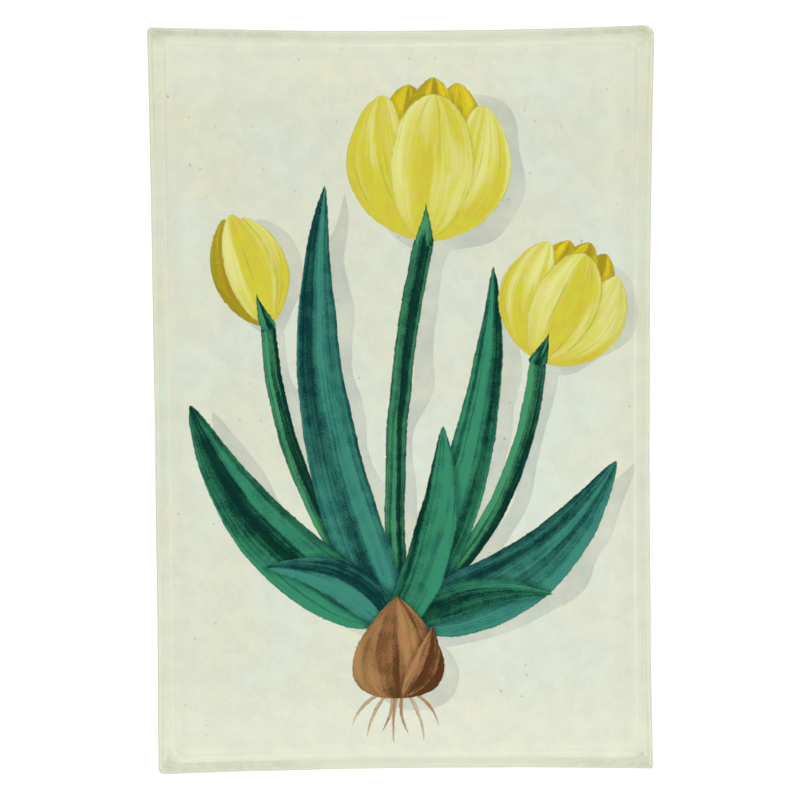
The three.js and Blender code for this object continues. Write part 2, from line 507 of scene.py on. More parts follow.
def stroke(start, tip, width, bow=0.0, foot=0.2, tip_shape=0.6, paint="leaf", shade=0.3, flush=0.0, rib=0.0):
    return Stroke(Vector(start), Vector(tip), width, bow, foot, tip_shape, paint, shade, flush, rib)


def tulip(base, lean, height, opening):
    """The petals of one tulip seen from the side, the hindmost first."""
    base = Vector(base)
    axis = Vector((math.sin(lean), math.cos(lean)))
    side = Vector((axis.y, -axis.x))

    def petal(start_side, tip_side, tip_height, width, bulge, paint, shade, rib):
        start = base + side * start_side
        tip = base + side * tip_side * opening + axis * height * tip_height
        return stroke(start, tip, width * opening, bulge * opening, 0.62, 0.55, paint, shade, 0.7, rib)

    return [
        petal(-4.0, -12.0, 0.98, 31.0, -5.0, "inner", 0.2, 0.2),
        petal(4.0, 14.0, 1.0, 31.0, 5.0, "inner", -0.3, 0.2),
        petal(0.0, 1.0, 1.03, 31.0, 0.0, "inner", 0.1, 0.3),
        petal(-2.0, -26.0, 0.90, 33.0, -11.0, "petal", -0.5, 0.3),
        petal(2.0, 28.0, 0.87, 33.0, 11.5, "petal", 0.5, 0.3),
        petal(0.0, 2.0, 0.93, 43.0, 1.5, "petal", 0.25, 0.5),
        stroke(base - axis * 3, base + axis * height * 0.24, 10.0, 0.6, 0.12, 1.3, "stem", 0.4, 0.3),
    ]


def bud(base, lean, height):
    """A closed flower: one petal behind on each side and one in front."""
    base = Vector(base)
    axis = Vector((math.sin(lean), math.cos(lean)))
    side = Vector((axis.y, -axis.x))
    left_tip = base + axis * height - side * 5
    right_tip = base + axis * height * 0.97 + side * 6
    return [
        stroke(base - side * 2, left_tip, 24, -5, 0.6, 0.6, "inner", -0.3, 0.9, 0.2),
        stroke(base + side * 2, right_tip, 24, 5, 0.6, 0.6, "petal", 0.5, 0.9, 0.2),
        stroke(base, base + axis * height * 1.02, 26, 0.5, 0.62, 0.62, "petal", 0.3, 1.0, 0.5),
        stroke(base - axis * 3, base + axis * height * 0.3, 9.0, -0.6, 0.12, 1.3, "stem", 0.4, 0.3),
    ]


NECK = (-4.0, -114.0)  # where the leaves leave the bulb
BULB_FOOT = (-4.0, -165.0)
TALL_FLOWER = (12.0, 88.0)
RIGHT_FLOWER = (74.0, 22.0)
LEFT_BUD = (-74.0, 42.0)
SHADOW_SHIFT = Vector((9.0, -4.0))


def roots():
    """Thin roots that fan out under the bulb."""
    strokes = []
    for index, (spread, length, bow) in enumerate(
        ((-25, 15, 3), (-17, 22, 2), (-9, 19, -2), (-2, 26, 1), (6, 21, 2), (14, 24, -2), (22, 16, -3))
    ):
        start = Vector(BULB_FOOT) + Vector((spread * 0.35, 3.0))
        tip = Vector(BULB_FOOT) + Vector((spread, -length))
        strokes.append(stroke(start, tip, 2.4, bow, 0.1, 0.5, "root", 0.6, 0.3 + 0.05 * index))
    return strokes


def plant():
    """All strokes of the picture, the hindmost first."""
    neck = Vector(NECK)
    return [
        *roots(),
        # stems
        stroke(neck + Vector((1, -8)), TALL_FLOWER, 12.0, -8, 0.02, 0.02, "stem", 0.9, 0.4),
        stroke(neck + Vector((4, -8)), RIGHT_FLOWER, 11.0, 17, 0.02, 0.02, "stem", 0.9, 0.4),
        stroke(neck + Vector((-4, -8)), LEFT_BUD, 10.0, -15, 0.02, 0.02, "stem", 0.9, 0.4),
        # leaves behind
        stroke(neck + Vector((-3, -6)), (-42, 118), 31, -19, 0.22, 0.65, "teal", -0.5, 0.2),
        stroke(neck + Vector((5, -6)), (50, 74), 27, 13, 0.22, 0.7, "leaf", 0.5, 0.2),
        # flowers
        *tulip(TALL_FLOWER, math.radians(3), 86, 1.06),
        *tulip(RIGHT_FLOWER, math.radians(24), 68, 0.84),
        *bud(LEFT_BUD, math.radians(-18), 62),
        # leaves in front
        stroke(neck + Vector((-6, -6)), (-117, -2), 37, -17, 0.25, 0.65, "leaf", 0.6, 0.2),
        stroke(neck + Vector((7, -6)), (117, -34), 38, 19, 0.25, 0.65, "teal", -0.5, 0.2),
        stroke(neck + Vector((-5, -8)), (-76, -92), 23, 10, 0.3, 0.75, "teal", 0.5, 0.3),
        stroke(neck + Vector((6, -8)), (82, -108), 19, -8, 0.3, 0.75, "leaf", -0.4, 0.3),
        stroke(neck + Vector((1, -10)), (22, -14), 24, 8, 0.3, 0.7, "leaf", -0.6, 0.3),
        # bulb
        stroke(BULB_FOOT, neck + Vector((0, 6)), 52, 0.5, 0.42, 0.95, "bulb", 0.5, 0.6, -0.4),
        stroke((-1, -164), (16, -125), 15, 4, 0.6, 0.8, "bulb", 0.4, 0.2, 0.3),
    ]


def cast_shadows(strokes):
    """The shapes that the grey wash repeats beside the plant: its long strokes and whole flowers."""
    tall, right, left = Vector(TALL_FLOWER), Vector(RIGHT_FLOWER), Vector(LEFT_BUD)
    return [
        *(one for one in strokes if one.paint in ("leaf", "teal")),
        *(one for one in strokes if one.paint in ("stem", "bulb") and (one.tip - one.start).length > 45),
        stroke(tall - Vector((2, 2)), tall + Vector((8, 88)), 86, 0, 0.42, 0.34),
        stroke(right - Vector((2, 2)), right + Vector((28, 60)), 62, 0, 0.42, 0.34),
        stroke(left, left + Vector((-18, 58)), 36, 0, 0.5, 0.5),
    ]


def stroke_inputs(one, shift=None):
    """The group inputs that place a stroke on the sheet."""
    reach = one.tip - one.start
    length = reach.length
    along = reach / length
    widest = one.foot / (one.foot + one.tip_shape)
    fullest = widest**one.foot * (1 - widest) ** one.tip_shape
    start = one.start + (shift or Vector((0.0, 0.0)))
    return {
        "Start": (start.x, start.y, 0.0),
        "Along": (along.x / length, along.y / length, 0.0),
        "Across": (along.y, -along.x, 0.0),
        "Length": length,
        "Half Width": one.width / 2 / fullest,
        "Bow": 4 * one.bow,
        "Foot": one.foot,
        "Tip": one.tip_shape,
    }


# Places on the sheet, in millimetres from its middle.
FLAT_HALF = (130.0, 196.5, 0.0)  # half the size of its flat part
COOL_SPOT = (45.0, -35.0, 0.0)  # where the paper is least creamy
CREAM_REACH = 190.0  # how far from there it has turned to cream
WASH_WANDER = (26.0, 26.0, 0.0)  # how far the wash strays from the plant's shapes
SPECKED_HEIGHT = (2.8, 3.4)  # above the table: specks show on the flat part alone
FLECK_TINTS = (0.978, 0.981, 0.945), (1.020, 1.017, 1.052)
INK_TINT = (0.5, 0.55, 1.5)  # of the darkest lines, against the paint's deep colour
LOWER_RIGHT = (0.5, -1.0, 0.0)
OUTSIDE = -100.0  # depth of a point that lies far outside every stroke
FLAT = (1.0, 1.0, 0.0)
NOTHING = (0.0, 0.0, 0.0)

PLACE_SOCKETS = {
    "Point": ("Vector", None),
    "Start": ("Vector", None),
    "Along": ("Vector", None),
    "Across": ("Vector", None),
    "Length": ("Float", 100.0),
    "Half Width": ("Float", 10.0),
    "Bow": ("Float", 0.0),
    "Foot": ("Float", 0.2),
    "Tip": ("Float", 0.6),
}


def stroke_place(tree, given):
    """Where a point lies on a stroke: share along it, share across it, and depth inside its edge."""
    away = vector_math(tree, "SUBTRACT", given["Point"], given["Start"])
    raw = vector_math(tree, "DOT_PRODUCT", away, given["Along"])
    share = clamped(tree, raw)
    beyond = math_node(tree, "ABSOLUTE", math_node(tree, "SUBTRACT", raw, share))
    rest = math_node(tree, "SUBTRACT", 1.0, share)
    swing = math_node(tree, "MULTIPLY", math_node(tree, "MULTIPLY", share, rest), given["Bow"])
    sideways = math_node(
        tree, "SUBTRACT", vector_math(tree, "DOT_PRODUCT", away, given["Across"]), swing
    )
    growing = math_node(tree, "POWER", share, given["Foot"])
    shrinking = math_node(tree, "POWER", rest, given["Tip"])
    half = math_node(
        tree, "MULTIPLY", math_node(tree, "MULTIPLY", growing, shrinking), given["Half Width"]
    )
    inside = math_node(tree, "SUBTRACT", half, math_node(tree, "ABSOLUTE", sideways))
    depth = math_node(
        tree, "SUBTRACT", inside, math_node(tree, "MULTIPLY", beyond, given["Length"])
    )
    across = math_node(tree, "DIVIDE", sideways, math_node(tree, "MAXIMUM", half, 0.01))
    return share, across, depth


def painted_stroke_group():
    """Lays one stroke over what is painted so far, and hands on the new state of the paint."""
    carried = {
        "Place": ("Vector", None),
        "Style": ("Vector", None),
        "Light": ("Color", None),
        "Deep": ("Color", None),
        "Cover": ("Float", 0.0),
    }
    own = {
        "Number": ("Float", 0.0),
        "Own Style": ("Vector", None),
        "Own Light": ("Color", None),
        "Own Deep": ("Color", None),
    }
    tree, given, end = new_group("painted stroke", {**PLACE_SOCKETS, **own, **carried}, carried)
    share, across, depth = stroke_place(tree, given)
    on_stroke = math_node(tree, "GREATER_THAN", depth, 0.0)
    # The whole part of X is the stroke's number, and the rest is the share along it, short of 1.
    numbered = math_node(tree, "ADD", given["Number"], math_node(tree, "MULTIPLY", share, 0.998))
    place = add_node(tree, "ShaderNodeCombineXYZ", {"X": numbered, "Y": across, "Z": depth}).outputs[0]
    # What lies just outside the stroke is shaded by it.
    nearness = clamped(tree, math_node(tree, "MULTIPLY_ADD", depth, 1 / 3.0, 1.0))
    shading = math_node(tree, "MULTIPLY", nearness, 0.5)
    shaded = mixed(tree, "RGBA", shading, given["Light"], given["Deep"])
    soft = clamped(tree, math_node(tree, "MULTIPLY", depth, 2.5))
    results = {
        "Place": mixed(tree, "VECTOR", on_stroke, given["Place"], place),
        "Style": mixed(tree, "VECTOR", on_stroke, given["Style"], given["Own Style"]),
        "Light": mixed(tree, "RGBA", on_stroke, shaded, given["Own Light"]),
        "Deep": mixed(tree, "RGBA", on_stroke, given["Deep"], given["Own Deep"]),
        "Cover": math_node(tree, "MAXIMUM", given["Cover"], soft),
    }
    for name, socket in results.items():
        tree.links.new(socket, end.inputs[name])
    return tree


def painted_shadow_group():
    """Adds one stroke's shape to the grey wash: how deep a point lies inside the wash's edge."""
    tree, given, end = new_group(
        "painted shadow", {**PLACE_SOCKETS, "Depth": ("Float", OUTSIDE)}, {"Depth": ("Float", 0.0)}
    )
    depth = stroke_place(tree, given)[2]
    tree.links.new(math_node(tree, "MAXIMUM", given["Depth"], depth), end.inputs["Depth"])
    return tree


def watercolour_group():
    """Turns the place on the topmost stroke into brushed colour."""
    tree, given, end = new_group(
        "watercolour",
        {
            "Point": ("Vector", None),
            "Place": ("Vector", None),
            "Style": ("Vector", None),
            "Light": ("Color", None),
            "Deep": ("Color", None),
        },
        {"Color": ("Color", None)},
    )
    place = parts_of(tree, given["Place"])
    style = parts_of(tree, given["Style"])
    share = math_node(tree, "FRACT", place[0])
    number = math_node(tree, "FLOOR", place[0])
    across, depth = place[1], place[2]
    seed = math_node(tree, "MULTIPLY", number, 7.3)

    def along_stroke(times_across, times_along):
        spot = add_node(
            tree,
            "ShaderNodeCombineXYZ",
            {
                "X": math_node(tree, "MULTIPLY", across, times_across),
                "Y": math_node(tree, "MULTIPLY", share, times_along),
                "Z": seed,
            },
        )
        return spot.outputs[0]

    bands = cloud(tree, along_stroke(1.5, 0.9), 1.0, 1.0).outputs[0]
    glazes = cloud(tree, along_stroke(3.0, 1.3), 1.0, 2.0).outputs[0]
    veins = cloud(tree, along_stroke(11.0, 1.3), 1.0, 2.0, 0.6).outputs[0]
    grain = cloud(tree, given["Point"], 1.3, 3.0, 0.7).outputs[0]
    pools = cloud(tree, given["Point"], 0.11, 3.0, 0.55).outputs[0]
    # One half of a leaf or petal is shaded, up to a crisp line that wavers about its middle.
    wavering = math_node(tree, "MULTIPLY_ADD", bands, 1.2, math_node(tree, "SUBTRACT", across, 0.6))
    shaded = ramped(tree, wavering, -0.08, 0.08, -0.24, 0.24)
    half = math_node(tree, "MULTIPLY_ADD", across, 0.3, shaded)
    side = math_node(tree, "MULTIPLY", half, style[0])
    rest = math_node(tree, "SUBTRACT", 1.0, share)
    flush = math_node(tree, "MULTIPLY", math_node(tree, "POWER", rest, 2.4), style[1])
    middle = clamped(tree, math_node(tree, "SUBTRACT", 1.0, math_node(tree, "ABSOLUTE", across)))
    rib = math_node(tree, "MULTIPLY", math_node(tree, "POWER", middle, 2.0), style[2])
    amount = ramped(tree, bands, 0.42, 0.58, 0.12, 0.76)
    for part in (
        ramped(tree, glazes, 0.46, 0.54, -0.15, 0.15),
        ramped(tree, veins, 0.36, 0.64, -0.13, 0.13),
        ramped(tree, pools, 0.3, 0.7, -0.10, 0.10),
        ramped(tree, pools, 0.50, 0.52, -0.04, 0.04),
        ramped(tree, grain, 0.36, 0.64, -0.22, 0.22),
        side,
        flush,
        rib,
    ):
        amount = math_node(tree, "ADD", amount, part)
    amount = clamped(tree, amount)
    colour = mixed(tree, "RGBA", amount, given["Light"], given["Deep"])
    # Pigment gathers in a thin line along each edge, and in a few fine veins.
    edge = ramped(tree, depth, 0.1, 1.2, 1.0, 0.0)
    line = math_node(tree, "MULTIPLY", edge, ramped(tree, pools, 0.35, 0.6, 0.1, 0.6))
    vein = ramped(tree, veins, 0.61, 0.67, 0.0, 0.35)
    ink = math_node(tree, "MAXIMUM", line, vein)
    colour = mixed(tree, "RGBA", ink, colour, vector_math(tree, "MULTIPLY", given["Deep"], INK_TINT))
    tint = add_node(
        tree,
        "ShaderNodeHueSaturation",
        {
            "Hue": ramped(tree, pools, 0.3, 0.7, 0.488, 0.512),
            "Value": ramped(tree, grain, 0.3, 0.7, 0.93, 1.07),
            "Color": colour,
        },
    )
    tree.links.new(tint.outputs[0], end.inputs["Color"])
    return tree


def fibre_grain_group():
    """The matted fibres of paper and felt: a fine height, a slow mottling and a few specks."""
    tree, given, end = new_group(
        "fibre grain",
        {"Point": ("Vector", None), "Tooth": ("Float", 1.0), "Mottle": ("Float", 0.02)},
        {"Height": ("Float", 0.0), "Mottling": ("Float", 0.0), "Specks": ("Float", 0.0)},
    )
    tooth = cloud(tree, given["Point"], given["Tooth"], 3.0, 0.65).outputs[0]
    slow = cloud(tree, given["Point"], given["Mottle"], 3.0, 0.6).outputs[0]
    dots = cloud(tree, given["Point"], 0.35, 0.0).outputs[0]
    tree.links.new(tooth, end.inputs["Height"])
    tree.links.new(ramped(tree, slow, 0.3, 0.7), end.inputs["Mottling"])
    tree.links.new(ramped(tree, dots, 0.835, 0.865), end.inputs["Specks"])
    return tree


def millimetres(tree):
    """The place on the piece in the row's own axes, in millimetres."""
    place = tree.nodes.new("ShaderNodeTexCoord").outputs["Object"]
    return scaled(tree, place, 1 / MM)


def drawn_by_hand(tree, point):
    """The same place shifted a little, so that edges waver and catch the paper's tooth."""
    for scale, reach, detail in ((0.03, 2.4, 1.0), (0.5, 1.7, 4.0)):
        shift = cloud(tree, point, scale, detail, 0.65).outputs["Color"]
        centred = vector_math(tree, "SUBTRACT", shift, (0.5, 0.5, 0.5))
        point = vector_math(tree, "ADD", point, scaled(tree, centred, reach))
    return vector_math(tree, "MULTIPLY", point, FLAT)


def painted_light_near_walls(tree, point):
    """How much lighter the paper is painted here, about 1.

    It is painted lighter towards the edge of its flat part, against the shade that the walls cast there,
    and only a little on the bend and the wall outside that edge, which are painted darker to even out
    the light there. It is also painted lighter towards its lower right and darker at its upper left.
    """
    inwards = vector_math(tree, "SUBTRACT", FLAT_HALF, vector_math(tree, "ABSOLUTE", point))
    parts = parts_of(tree, inwards)
    lower_right = vector_math(tree, "DOT_PRODUCT", point, LOWER_RIGHT)
    # Painted light and shade: a lightness factor for the paper, not a tone of the paper itself.
    painted_lightness = 1.0
    for part in (
        ramped(tree, parts[0], 2.5, 35.0, 0.07, 0.0),
        ramped(tree, parts[1], 2.5, 45.0, 0.095, 0.0),
        ramped(tree, math_node(tree, "MINIMUM", parts[0], parts[1]), 2.5, 8.0, 0.06, 0.0),
        math_node(
            tree,
            "MINIMUM",
            ramped(tree, parts[0], 0.3, 2.5, -0.1, 0.0),
            ramped(tree, parts[1], -0.5, 3.0, -0.075, 0.0),
        ),
        ramped(tree, lower_right, -150.0, 200.0, -0.025, 0.035),
    ):
        painted_lightness = math_node(tree, "ADD", painted_lightness, part)
    return painted_lightness


def print_material(colours, grain):
    """Cream paper with the painted plant."""
    material, tree, output = new_material("printed paper")
    paints = {
        "petal": (colours.petal_light, colours.petal_deep),
        "inner": (colours.inner_light, colours.inner_deep),
        "leaf": (colours.leaf_light, colours.leaf_deep),
        "teal": (colours.teal_light, colours.teal_deep),
        "stem": (colours.stem_light, colours.leaf_deep),
        "bulb": (colours.bulb_light, colours.bulb_deep),
        "root": (colours.root_light, colours.bulb_light),
    }
    point = millimetres(tree)
    flat = vector_math(tree, "MULTIPLY", point, FLAT)
    brushed = drawn_by_hand(tree, point)
    strokes = plant()

    # The wash follows the plant only loosely, so its place is shifted in broad waves.
    waves = vector_math(tree, "SUBTRACT", cloud(tree, flat, 0.016, 1.0).outputs["Color"], (0.5, 0.5, 0.5))
    loosely = vector_math(tree, "ADD", brushed, vector_math(tree, "MULTIPLY", waves, WASH_WANDER))
    shadow_group = painted_shadow_group()
    wash_depth = OUTSIDE
    for one in cast_shadows(strokes):
        inputs = {**stroke_inputs(one, SHADOW_SHIFT), "Point": loosely, "Depth": wash_depth}
        wash_depth = use_group(tree, shadow_group, inputs)["Depth"]

    stroke_group = painted_stroke_group()
    state = {
        "Place": NOTHING,
        "Style": NOTHING,
        "Light": opaque(colours.paper_cream),
        "Deep": opaque(colours.paper_cream),
        "Cover": 0.0,
    }
    for number, one in enumerate(strokes, start=1):
        light, deep = paints[one.paint]
        inputs = {
            **stroke_inputs(one),
            "Point": brushed,
            "Number": float(number),
            "Own Style": (one.shade, one.flush, one.rib),
            "Own Light": opaque(light),
            "Own Deep": opaque(deep),
        }
        laid = use_group(tree, stroke_group, {**inputs, **state})
        state = {name: laid[name] for name in state}

    fibres = use_group(tree, grain, {"Point": flat, "Tooth": 1.3, "Mottle": 0.018})
    # The sheet is creamier towards its two ends, the upper one most.
    away = vector_math(tree, "SUBTRACT", flat, COOL_SPOT)
    end_share = math_node(tree, "DIVIDE", vector_math(tree, "DOT_PRODUCT", away, away), CREAM_REACH**2)
    tone = math_node(tree, "MULTIPLY_ADD", end_share, -0.3, fibres["Mottling"])
    # Painted light and shade: lighter near the walls against their shade, darker on the bend, lighter at
    # lower right.
    painted_lightness = painted_light_near_walls(tree, flat)
    paper = mixed(
        tree,
        "RGBA",
        clamped(tree, math_node(tree, "ADD", tone, 0.2)),
        opaque(colours.paper_cream),
        opaque(colours.paper_mint),
    )
    # Where it is painted lightest, the paper turns to its painted-light tone.
    paper = mixed(tree, "RGBA", ramped(tree, painted_lightness, 1.02, 1.12), paper, opaque(colours.paper_painted_light))
    cloudy = cloud(tree, flat, 0.09, 2.0).outputs[0]
    paper = mixed(
        tree, "RGBA", ramped(tree, cloudy, 0.35, 0.65, 0.0, 0.5), paper, opaque(colours.paper_grey)
    )
    # The paper's tooth yellowed unevenly, so its tone is finely flecked.
    flecks = ramped(tree, cloud(tree, flat, 0.3, 3.0, 0.85).outputs[0], 0.32, 0.68)
    paper = vector_math(tree, "MULTIPLY", paper, mixed(tree, "VECTOR", flecks, *FLECK_TINTS))
    # A wash dries unevenly, and a little darker along its edge.
    dried = ramped(tree, cloud(tree, flat, 0.035, 2.0).outputs[0], 0.32, 0.66, 0.4, 0.85)
    edge = ramped(tree, wash_depth, 0.4, 2.4, 0.15, 0.0)
    strength = math_node(
        tree, "MULTIPLY", math_node(tree, "ADD", dried, edge), ramped(tree, wash_depth, 0.0, 1.1)
    )
    washed = mixed(tree, "RGBA", strength, WHITE, opaque(colours.wash))
    paper = mixed(tree, "RGBA", 1.0, paper, washed, blend="MULTIPLY")
    # The paper's colour is scaled by its painted lightness.
    paper = scaled(tree, paper, painted_lightness)
    height_up = parts_of(tree, point)["Z"]
    speckled = ramped(tree, height_up, *SPECKED_HEIGHT, 0.5, 0.0)
    speck = math_node(tree, "MULTIPLY", fibres["Specks"], speckled)
    paper = mixed(tree, "RGBA", speck, paper, opaque(colours.paper_speck))
    brushwork = use_group(
        tree,
        watercolour_group(),
        {"Point": flat, **{name: state[name] for name in ("Place", "Style", "Light", "Deep")}},
    )
    colour = mixed(tree, "RGBA", state["Cover"], paper, brushwork["Color"])

    surface = {
        "Base Color": colour,
        "Roughness": mixed(tree, "FLOAT", state["Cover"], 0.72, 0.6),
        "Specular IOR Level": 0.05,  # the glue under the glass takes the paper's own gloss
        "Normal": bumped(tree, fibres["Height"], 0.25, 0.05 * MM),
    }
    give_surface(tree, output, surface)
    return material


# ---- The other materials ----

LAMP_TINT = (0.97, 0.98, 0.965, 1.0)  # what each face of the glass leaves of the lamps' light
GLASS_BENDING = 1.52
CLEAREST = (0.99, 0.995, 0.985)
CLEAR = (0.975, 0.985, 0.97)
GROUND = (0.93, 0.935, 0.91)
GROUND_CLOUDY = (0.69, 0.725, 0.665)
SMOOTHED = (0.995, 1.0, 0.975)
SMOOTHED_CLOUDY = (0.97, 0.985, 0.945)
GRINDING_MIDDLE = 16.0  # where the ends are ground least, in millimetres to the right
GREYER_HEIGHT = (11.5, 13.6)  # where the lining turns greyer, in millimetres above the table
BRUSHED = (1.1, 0.03, 0.06)  # draws a pattern out along the varnish brush's strokes
MATTED = (0.6, 4.0, 2.0)  # and along the strands of the felt


def uneven_glass_group():
    """Hand-made glass: its slow waves, the grit of a ground face and the cloudiness it leaves."""
    tree, given, end = new_group(
        "uneven glass",
        {"Point": ("Vector", None), "Grit": ("Float", 0.0), "Clear Middle": ("Float", OUTSIDE)},
        {"Height": ("Float", 0.0), "Cloudiness": ("Float", 0.0)},
    )
    waves = cloud(tree, given["Point"], 0.022, 1.0).outputs[0]
    grit = cloud(tree, given["Point"], 1.4, 2.0).outputs[0]
    patches = cloud(tree, given["Point"], 0.28, 3.0, 0.6).outputs[0]
    height = math_node(tree, "MULTIPLY_ADD", grit, given["Grit"], waves)
    # The grinding is cloudier towards the corners than along a side's middle.
    along = parts_of(tree, given["Point"])["X"]
    from_middle = math_node(tree, "ABSOLUTE", math_node(tree, "SUBTRACT", along, GRINDING_MIDDLE))
    past = math_node(tree, "SUBTRACT", from_middle, given["Clear Middle"])
    mottled = ramped(tree, patches, 0.35, 0.65, 0.35, 1.0)
    cloudiness = math_node(tree, "MULTIPLY", mottled, ramped(tree, past, 0.0, 45.0))
    tree.links.new(height, end.inputs["Height"])
    tree.links.new(cloudiness, end.inputs["Cloudiness"])
    return tree


def glass_material(name, tints, roughness=0.0, grit=0.0, clear_middle=OUTSIDE, bending=GLASS_BENDING):
    """Clear glass. Light from the lamps and from the paper passes straight through it.

    tints are the colours of its clearest and of its cloudiest patches, and clear_middle is how
    many millimetres from the middle the clouds start. bending is the refractive index. The face
    that is glued down has 1, because the glue carries light on as glass does.
    """
    material, tree, output = new_material(name)
    unevenness = use_group(
        tree,
        shared_group("uneven glass", uneven_glass_group),
        {"Point": millimetres(tree), "Grit": grit, "Clear Middle": clear_middle},
    )
    colour = mixed(tree, "RGBA", unevenness["Cloudiness"], opaque(tints[0]), opaque(tints[1]))
    shader = add_node(
        tree,
        "ShaderNodeBsdfPrincipled",
        {
            "Base Color": colour,
            "Roughness": roughness,
            "IOR": bending,
            "Transmission Weight": 1.0,
            "Normal": bumped(tree, unevenness["Height"], 0.3, 0.3 * MM),
        },
    )
    clear = add_node(tree, "ShaderNodeBsdfTransparent", {"Color": LAMP_TINT})
    path = tree.nodes.new("ShaderNodeLightPath")
    seen = shader.outputs[0]
    for kind in ("Is Diffuse Ray", "Is Shadow Ray"):
        either = tree.nodes.new("ShaderNodeMixShader")
        tree.links.new(path.outputs[kind], either.inputs[0])
        tree.links.new(seen, either.inputs[1])
        tree.links.new(clear.outputs[0], either.inputs[2])
        seen = either.outputs[0]
    tree.links.new(seen, output.inputs["Surface"])
    return material


def backing_material(colours, grain):
    """Pale lining paper under satin varnish, which kept its brush marks, greyer towards its upper edge."""
    material, tree, output = new_material("varnished lining paper")
    point = millimetres(tree)
    fibres = use_group(tree, grain, {"Point": point, "Tooth": 0.9, "Mottle": 0.02})
    along_brush = vector_math(tree, "MULTIPLY", point, BRUSHED)
    strokes = cloud(tree, along_brush, 1.0, 3.0, 0.6).outputs[0]
    colour = mixed(
        tree, "RGBA", fibres["Mottling"], opaque(colours.lining_deep), opaque(colours.lining_light)
    )
    marks = ramped(tree, strokes, 0.3, 0.7, 0.0, 0.45)
    colour = mixed(tree, "RGBA", marks, colour, opaque(colours.lining_brushed))
    speck = math_node(tree, "MULTIPLY", fibres["Specks"], 0.6)
    colour = mixed(tree, "RGBA", speck, colour, opaque(colours.lining_speck))
    height_up = parts_of(tree, point)["Z"]
    edge = ramped(tree, height_up, *GREYER_HEIGHT, 0.0, 0.6)
    colour = mixed(tree, "RGBA", edge, colour, opaque(colours.lining_edge))
    height = math_node(tree, "MULTIPLY_ADD", strokes, 0.8, fibres["Height"])
    surface = {
        "Base Color": colour,
        "Roughness": ramped(tree, strokes, 0.3, 0.7, 0.34, 0.5),
        "Normal": bumped(tree, height, 0.35, 0.12 * MM),
    }
    give_surface(tree, output, surface)
    return material


def felt_material(colours, grain):
    """Pressed wool felt: matted fibres in two shades, with a soft sheen."""
    material, tree, output = new_material("pressed felt")
    point = millimetres(tree)
    fibres = use_group(tree, grain, {"Point": point, "Tooth": 2.2, "Mottle": 0.25})
    strands = cloud(tree, vector_math(tree, "MULTIPLY", point, MATTED), 1.0, 4.0, 0.7).outputs[0]
    colour = mixed(
        tree, "RGBA", fibres["Mottling"], opaque(colours.felt_deep), opaque(colours.felt_light)
    )
    between = ramped(tree, strands, 0.42, 0.62)
    colour = mixed(tree, "RGBA", between, colour, opaque(colours.felt_strand))
    height = math_node(tree, "ADD", strands, fibres["Height"])
    surface = {
        "Base Color": colour,
        "Roughness": ramped(tree, strands, 0.3, 0.7, 0.85, 1.0),
        "Sheen Weight": 0.5,
        "Sheen Roughness": 0.6,
        "Specular IOR Level": 0.1,
        "Normal": bumped(tree, height, 0.7, 0.3 * MM),
    }
    give_surface(tree, output, surface)
    return material


# ---- The operators ----

INSIDE, END_RIM, SIDE_RIM, GLUED = range(4)  # the glass's material slots
END_STRETCH = (0.2, 2.8)  # places of an end's ground rim, from the start of its half of the way
PAD_STEPS = 72
PAD_ROUNDING = 0.35 * MM


class TRAY_OT_add_glass(bpy.types.Operator):
    """Add the slumped sheet of clear glass with its ground rim"""

    bl_idname = "glass_tray.add_glass"
    bl_label = "Glass"

    def execute(self, context):
        form = TrayForm(context.scene.glass_tray_sizes)
        lower = form.face(0.0, form.wall_length)
        rim = form.rim()
        upper = form.face(-form.sizes.glass_thickness, form.wall_length)[::-1]
        section = [*lower[:-1], *rim, *upper[1:]]

        def slot_at(index, place):
            if index < len(lower):
                return GLUED
            on_end = END_STRETCH[0] < place % HALF_WAY < END_STRETCH[1]
            # The -Y end is ground a little way down its inner face.
            ground_down = 1 if on_end and place > HALF_WAY else 0
            if index >= len(lower) + len(rim) - 1 + ground_down:
                return INSIDE
            return END_RIM if on_end else SIDE_RIM

        bm = bmesh.new()
        wrap_round(bm, section, lambda index, place: form.hand_made(*section[index], place), slot_at)
        materials = [
            glass_material("clear glass", (CLEAREST, CLEAR)),
            glass_material(
                "ground glass end", (GROUND, GROUND_CLOUDY), roughness=0.30, grit=0.6, clear_middle=48.0
            ),
            glass_material("smoothed glass side", (SMOOTHED, SMOOTHED_CLOUDY), roughness=0.12, grit=0.1),
            glass_material("glued glass face", (CLEAREST, CLEAREST), bending=1.0),
        ]
        finish_piece("slumped_glass", bm, materials, ["glass_tray"])
        return {"FINISHED"}


BAKE_MAP = "OFBake"  # the name of the sheet's second map
BAKE_MARGIN = 0.004
UPPER_SPOT = Vector((0.345, 0.5)), 1.0  # middle on the map, and scale
LOWER_SPOT = Vector((0.85, 0.23)), 0.44


def lay_bake_map(bm, length):
    """A map for the export: the sheet's upper side fills most of it, its underside the rest."""
    layer = bm.loops.layers.uv.new(BAKE_MAP)
    whole = (1 - 2 * BAKE_MARGIN) / length
    for face in bm.faces:
        middle, share = UPPER_SPOT if face.normal.z > 0 else LOWER_SPOT
        for loop in face.loops:
            loop[layer].uv = middle + Vector((loop.vert.co.x, loop.vert.co.y)) * whole * share


class TRAY_OT_add_print(bpy.types.Operator):
    """Add the printed paper that is glued under the glass"""

    bl_idname = "glass_tray.add_print"
    bl_label = "Printed Paper"

    def execute(self, context):
        form = TrayForm(context.scene.glass_tray_sizes)
        lower = form.floor_height - PAPER_BOX[0].z
        upper = lower - PAPER_THICKNESS
        wall = form.wall_length - PAPER_STOPS_SHORT
        section = [*form.face(lower, wall), *form.face(upper, wall)[::-1]]
        bm = bmesh.new()
        wrap_round(bm, section, lambda index, place: form.hand_made(*section[index], place))
        lay_bake_map(bm, form.sizes.length)
        grain = shared_group("fibre grain", fibre_grain_group)
        material = print_material(context.scene.glass_tray_colours, grain)
        finish_piece("printed_sheet", bm, [material], ["printed_paper"])
        return {"FINISHED"}


